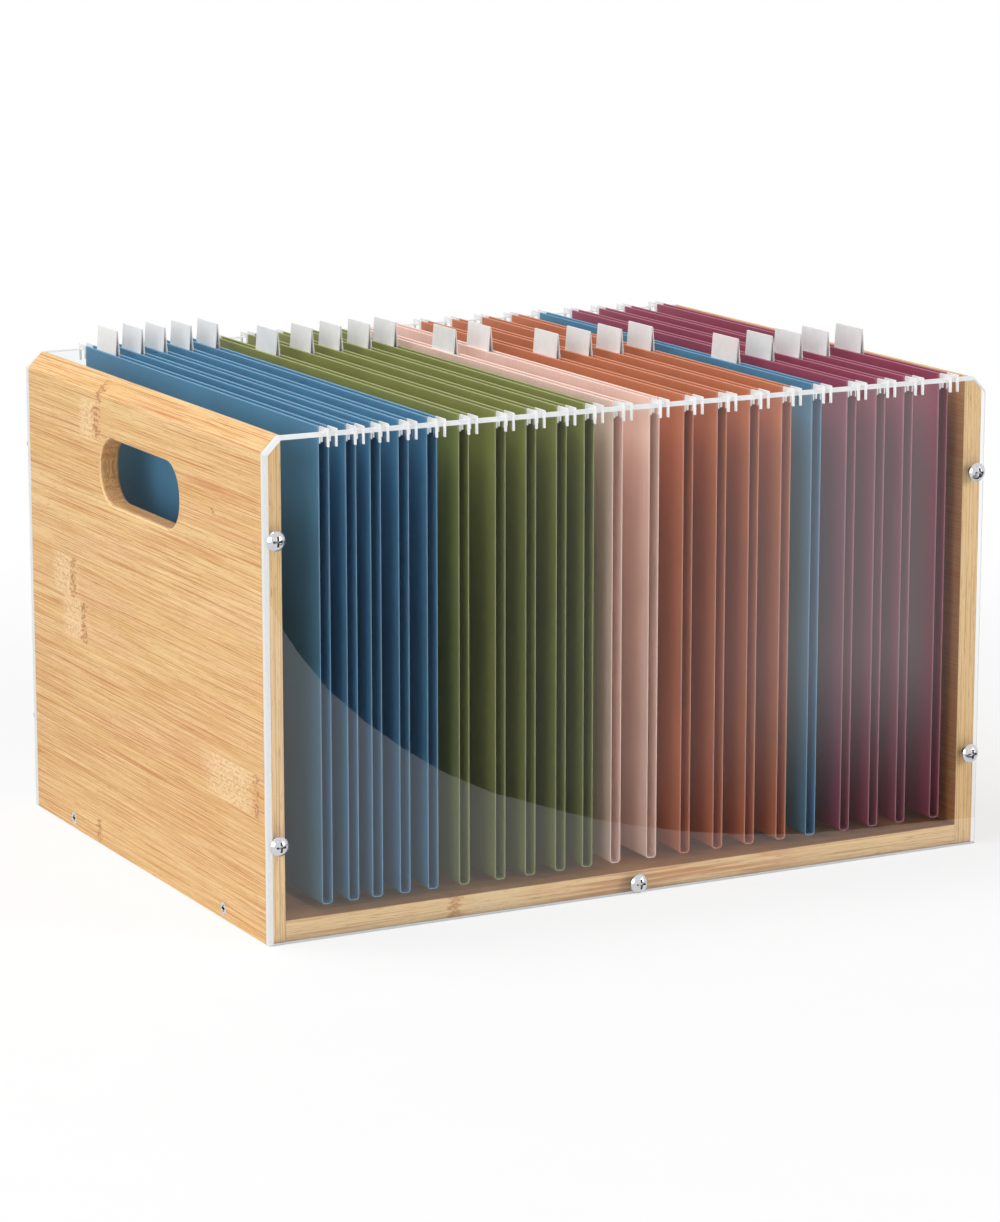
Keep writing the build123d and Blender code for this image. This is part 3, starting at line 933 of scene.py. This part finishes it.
# %% Place the camera
IMAGE_WIDTH, IMAGE_HEIGHT = 1000, 1222
FOCAL_PIXELS = 4180.3
CAMERA_PLACE = (-1030.1, -1965.9, 595.4)
CAMERA_YAW, CAMERA_PITCH = 27.693, 12.107
SENSOR_WIDTH, FARTHEST_SEEN = 36.0, 20.0

camera = bpy.data.objects.new("camera", bpy.data.cameras.new("camera"))
bpy.context.scene.collection.objects.link(camera)
camera.data.sensor_width = SENSOR_WIDTH
camera.data.lens = SENSOR_WIDTH * FOCAL_PIXELS / max(IMAGE_WIDTH, IMAGE_HEIGHT)
camera.data.clip_end = FARTHEST_SEEN
camera.location = [v * MM for v in CAMERA_PLACE]
camera.rotation_euler = (radians(90.0 - CAMERA_PITCH), 0.0, radians(-CAMERA_YAW))
bpy.context.scene.camera = camera
print("lens in mm:", round(camera.data.lens, 2))

# %% [markdown]
# ## Floor, room and lamps
# The floor is plain and pale. Seen by the camera it is mostly a steady white, with a
# share of real shading so that the box's shadow stays on it. The room is white for the
# camera and for mirrors, and dimmer for the light it sheds, so that pale things don't
# wash out. Three soft lamps light the box: a large one on the left gives it its lit side,
# one in front on the right fills the shade, and one above lights whatever looks up.

# %% Floor
FLOOR_HALF = 6.0
SHADOW_NEAR, SHADOW_FAR, SHADOW_SHARE = 350.0, 900.0, 0.28
FLOOR_TONES = [(0.3, (0.90, 0.90, 0.90)), (0.7, (0.92, 0.92, 0.92))]


def looked_at(tree):
    """1 for rays from the camera, from a mirror or through a clear sheet, and 0 for others."""
    path = add(tree, "ShaderNodeLightPath").outputs
    mirrored = calc(tree, "MAXIMUM", path["Is Glossy Ray"], path["Is Transmission Ray"])
    return calc(tree, "MAXIMUM", path["Is Camera Ray"], mirrored)


def floor_material():
    """Steady white for rays that look at it, with a share of real shading near the box."""
    material, tree = new_material("pale_floor")
    x, y, z = millimetres(tree)
    away = calc(tree, "SQRT", calc(tree, "ADD", times(tree, x, x), times(tree, y, y)))
    shaded = ramp(tree, away, SHADOW_FAR, SHADOW_NEAR, 0.0, SHADOW_SHARE)
    tone = colour_steps(tree, speckle(tree, x, y, 0.0, (40.0, 40.0, 40.0)), FLOOR_TONES)
    matt = add(tree, "ShaderNodeBsdfDiffuse", {"Color": tone})
    white = add(tree, "ShaderNodeEmission", {"Color": (1.0, 1.0, 1.0), "Strength": 1.0})
    steady = times(tree, looked_at(tree), calc(tree, "SUBTRACT", 1.0, shaded))
    mixed = add(tree, "ShaderNodeMixShader", {0: steady, 1: matt.outputs[0], 2: white.outputs[0]})
    finish_material(tree, mixed.outputs[0])
    return material


floor_mesh = bpy.data.meshes.new("floor")
corners = FLOOR_HALF * np.array([(-1, -1, 0), (1, -1, 0), (1, 1, 0), (-1, 1, 0)], float)
floor_mesh.from_pydata(corners.tolist(), [], [(0, 1, 2, 3)])
floor_mesh.materials.append(floor_material())
floor = bpy.data.objects.new("floor", floor_mesh)
bpy.context.scene.collection.objects.link(floor)
floor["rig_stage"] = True
print("floor half width in m:", FLOOR_HALF)

# %% Room
def light_room(strength):
    """A world that is white to look at and sheds light of a lower strength."""
    world = bpy.data.worlds.new("room")
    world.use_nodes = True
    tree = world.node_tree
    tree.nodes.clear()
    level = choose(tree, looked_at(tree), strength, 1.0)
    background = add(tree, "ShaderNodeBackground", {"Color": (1.0, 1.0, 1.0), "Strength": level})
    output = add(tree, "ShaderNodeOutputWorld")
    tree.links.new(background.outputs[0], output.inputs["Surface"])
    bpy.context.scene.world = world


ROOM_LIGHT = 0.25
light_room(ROOM_LIGHT)
print("room light:", ROOM_LIGHT)

# %% Lamps
def soft_lamp(name, place, target, size, power):
    """A square area lamp at place that looks at target, in metres and watts."""
    lamp = bpy.data.objects.new(name, bpy.data.lights.new(name, "AREA"))
    bpy.context.scene.collection.objects.link(lamp)
    lamp.data.size = size
    lamp.data.energy = power
    lamp.location = place
    direction = lamp.location - Vector(target)
    lamp.rotation_euler = direction.to_track_quat("Z", "Y").to_euler()


BOX_MIDDLE, BOX_TOP = (0.0, 0.0, 0.14), (0.0, 0.0, 0.2)
soft_lamp("side_lamp", place=(-2.05, -0.95, 0.80), target=BOX_MIDDLE, size=1.5, power=18.5)
soft_lamp("front_lamp", place=(1.30, -1.60, 0.90), target=BOX_MIDDLE, size=1.0, power=16.0)
soft_lamp("top_lamp", place=(-0.65, 0.20, 2.1), target=BOX_TOP, size=1.2, power=29.5)
print("lamps:", len(bpy.data.lights))

# %% [markdown]
# ## The card in the mirror
# In the photograph the front panel mirrors something dark with a round edge: below and
# left of an arc the panel looks milky, and above it clear. In a studio that is a card
# lying in front of the box, and the card here is seen by mirrors alone. Its edge is a
# curve through points found by following the photograph's line of sight off the panel and
# down to the floor. Such lines fan out from the place where the viewer stands in the
# panel's mirror, so the card's tones follow that fan: dark grey on the left, rising to
# white on the right, both brighter away from the box, and a quarter as bright at the far
# right. Seen from elsewhere, the same card is mirrored in another place.

# %% The card
CARD_EDGE = [
    (1500, -1900), (560, -1900), (300, -1300), (210, -1120), (150, -960), (102, -818), (80, -745),
    (52, -640), (36, -555), (26, -480), (22, -420), (25, -370), (35, -335), (41, -314),
    (50, -289), (63, -267), (75, -252), (88, -239), (103, -228), (122, -217), (135, -212),
    (149, -210), (164, -207), (191, -204), (217, -201), (237, -198), (1500, -198),
]


VIEWER_X, VIEWER_MIRRORED_Y, PANEL_FACE_Y = -1030.0, 1652.0, -157.0


def card_material():
    """Tones by on_panel, the X where the line from the mirrored viewer to the point crosses
    the panel: grey below about 10, white above about 130, and a quarter of it past 190."""
    material, tree = new_material("dark_card")
    x, y, z = millimetres(tree)
    from_viewer = calc(tree, "SUBTRACT", VIEWER_MIRRORED_Y, y)
    spread = calc(tree, "DIVIDE", calc(tree, "SUBTRACT", x, VIEWER_X), from_viewer)
    on_panel = calc(tree, "MULTIPLY_ADD", spread, VIEWER_MIRRORED_Y - PANEL_FACE_Y, VIEWER_X)
    grey = ramp(tree, on_panel, -150.0, 40.0, 0.08, 0.50)
    fade_to_box = ramp(tree, y, -200.0, -420.0, 0.35, 1.0)
    white = ramp(tree, y, -205.0, -620.0, 0.20, 1.60)
    level = choose(tree, ramp(tree, on_panel, 10.0, 130.0), times(tree, grey, fade_to_box), white)
    level = times(tree, level, ramp(tree, on_panel, 165.0, 190.0, 1.0, 0.25))
    glow = add(tree, "ShaderNodeEmission", {"Color": (1.0, 1.0, 1.0), "Strength": level})
    finish_material(tree, glow.outputs[0])
    return material


CARD_LIFT = 2.0
edge = np.array(CARD_EDGE, float)
outline = np.column_stack([edge, np.full(len(edge), CARD_LIFT)]) * MM
card_mesh = bpy.data.meshes.new("dark_card")
card_mesh.from_pydata(outline.tolist(), [], [list(range(len(outline)))])
card_mesh.materials.append(card_material())
dark_card = bpy.data.objects.new("dark_card", card_mesh)
bpy.context.scene.collection.objects.link(dark_card)
for ray in ("visible_camera", "visible_diffuse", "visible_transmission", "visible_shadow"):
    setattr(dark_card, ray, False)
dark_card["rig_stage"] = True
print("dark card points:", len(edge))

# %% Finish
bpy.context.scene.view_settings.view_transform = "Standard"
low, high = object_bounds()
print("visual box in mm:", [round(v / MM, 1) for v in high - low])
